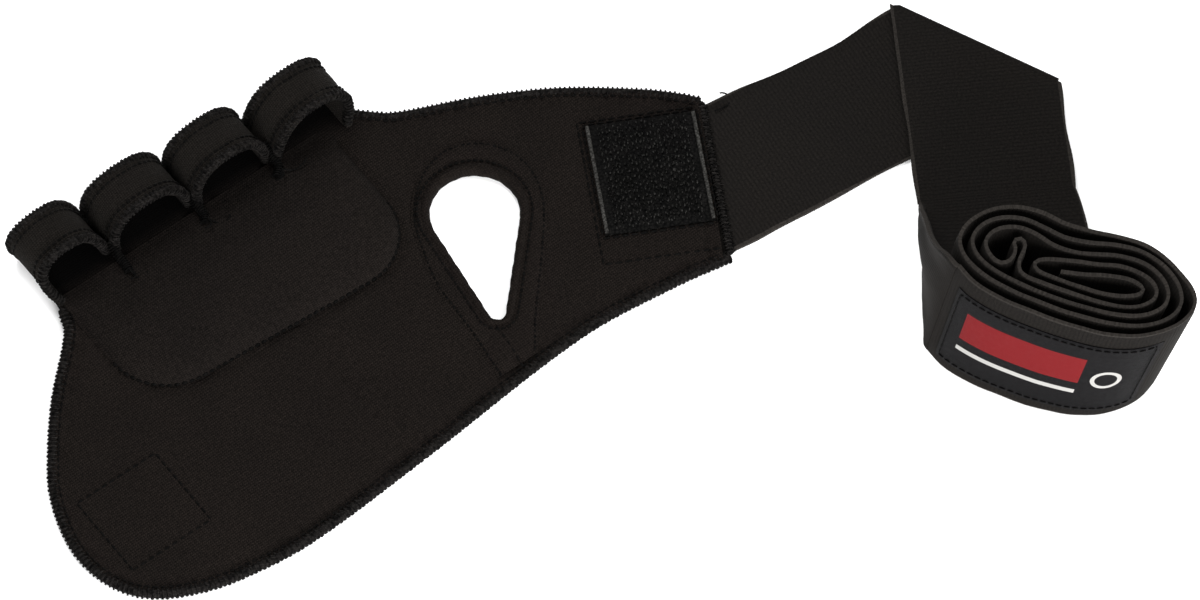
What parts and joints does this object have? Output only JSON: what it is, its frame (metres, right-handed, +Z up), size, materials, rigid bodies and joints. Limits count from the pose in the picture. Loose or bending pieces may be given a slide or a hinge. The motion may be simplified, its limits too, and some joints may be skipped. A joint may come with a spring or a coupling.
{
  "type": "hand grip",
  "caption": "Padded fabric hand grip, lining up, with finger loops, a thumb hole, a hook-and-loop closure and an elastic wrist wrap ending in a roll.",
  "frame": {"origin": "on the panel's underside, under the middle of the knuckle pad", "axes": "+X across the hand to the thumb side, +Y to the fingertips, +Z up out of the lining; the grip lies flat with its lining up"},
  "size_m": [0.3478, 0.2601, 0.05],
  "materials": {
    "panel_knit": "matte foam-backed knit",
    "lining_knit": "matte brushed knit",
    "foam": "open-cell foam",
    "thread": "spun polyester thread",
    "hook_tape": "bristling hook tape",
    "loop_tape": "napped loop tape",
    "elastic": "cross-ribbed woven elastic",
    "label_weave": "woven label"
  },
  "bodies": {
    "back_of_hand": {"panel_back": "panel_knit", "knuckle_foam": "foam", "pad_lining": "lining_knit", "pad_seam": "thread", "back_edging": "thread", "crotch_seam_1": "thread", "crotch_seam_2": "thread", "crotch_seam_3": "thread"},
    "palm_flap": {"panel_palm_flap": "panel_knit", "palm_flap_edging": "thread", "loop_patch": "loop_tape", "loop_patch_seam": "thread"},
    "thumb_side": {"panel_thumb_side": "panel_knit", "thumb_edging_upper": "thread", "thumb_edging_lower": "thread", "panel_end_seam": "thread", "thumb_hole_facing": "panel_knit", "thumb_hole_binding": "panel_knit", "facing_seam_inner": "thread", "facing_seam_outer": "thread", "hook_patch": "hook_tape", "hook_patch_seam": "thread", "wrap_sewn_end": "elastic", "wrap_box_seam": "thread"},
    "wrap_first": {"wrap_first_run": "elastic"},
    "wrap_second": {"wrap_second_run": "elastic"},
    "wrap_rolled": {"wrap_twist": "elastic", "wrap_roll": "elastic", "wrap_label": "label_weave", "label_seam": "thread", "wrap_end_hook_tab": "hook_tape"},
    "loop_little": {"finger_loop_little": "panel_knit", "loop_edging_little": "thread", "loop_hem_seam_little": "thread"},
    "loop_ring": {"finger_loop_ring": "panel_knit", "loop_edging_ring": "thread", "loop_hem_seam_ring": "thread"},
    "loop_middle": {"finger_loop_middle": "panel_knit", "loop_edging_middle": "thread", "loop_hem_seam_middle": "thread"},
    "loop_index": {"finger_loop_index": "panel_knit", "loop_edging_index": "thread", "loop_hem_seam_index": "thread"}
  },
  "joints": [
    {"name": "palm_flap_fold", "type": "hinge", "parent": "back_of_hand", "child": "palm_flap", "pos_m": [-0.06, -0.045, 0.0066], "axis": [0, 1, 0], "range_deg": [0, 170]},
    {"name": "thumb_side_fold", "type": "hinge", "parent": "back_of_hand", "child": "thumb_side", "pos_m": [0.0472, -0.0185, 0.008], "axis": [-0.314, -0.9494, 0], "range_deg": [0, 160]},
    {"name": "wrap_root_bend", "type": "hinge", "parent": "thumb_side", "child": "wrap_first", "pos_m": [0.13593, -0.07001, 0.00145], "axis": [0.4617, 0.887, 0], "range_deg": [-90, 0]},
    {"name": "wrap_diagonal_fold", "type": "hinge", "parent": "wrap_first", "child": "wrap_second", "pos_m": [0.22858, -0.07886, 0.00145], "axis": [0.4187, -0.9081, 0], "range_deg": [-120, 0]},
    {"name": "wrap_roll_lift", "type": "hinge", "parent": "wrap_second", "child": "wrap_rolled", "pos_m": [0.19459, -0.12831, 0.00305], "axis": [0.8241, -0.5664, 0], "range_deg": [-80, 0]},
    {"name": "finger_loop_little_tilt", "type": "hinge", "parent": "back_of_hand", "child": "loop_little", "pos_m": [-0.0461, 0.03277, 0.0045], "axis": [1, 0, 0], "range_deg": [-22, 22], "stiffness_Nm_per_rad": 0.02},
    {"name": "finger_loop_ring_tilt", "type": "hinge", "parent": "back_of_hand", "child": "loop_ring", "pos_m": [-0.0186, 0.03112, 0.0045], "axis": [1, 0, 0], "range_deg": [-22, 22], "stiffness_Nm_per_rad": 0.02},
    {"name": "finger_loop_middle_tilt", "type": "hinge", "parent": "back_of_hand", "child": "loop_middle", "pos_m": [0.01115, 0.02933, 0.0045], "axis": [1, 0, 0], "range_deg": [-22, 22], "stiffness_Nm_per_rad": 0.02},
    {"name": "finger_loop_index_tilt", "type": "hinge", "parent": "back_of_hand", "child": "loop_index", "pos_m": [0.03985, 0.02761, 0.0045], "axis": [1, 0, 0], "range_deg": [-22, 22], "stiffness_Nm_per_rad": 0.02}
  ]
}
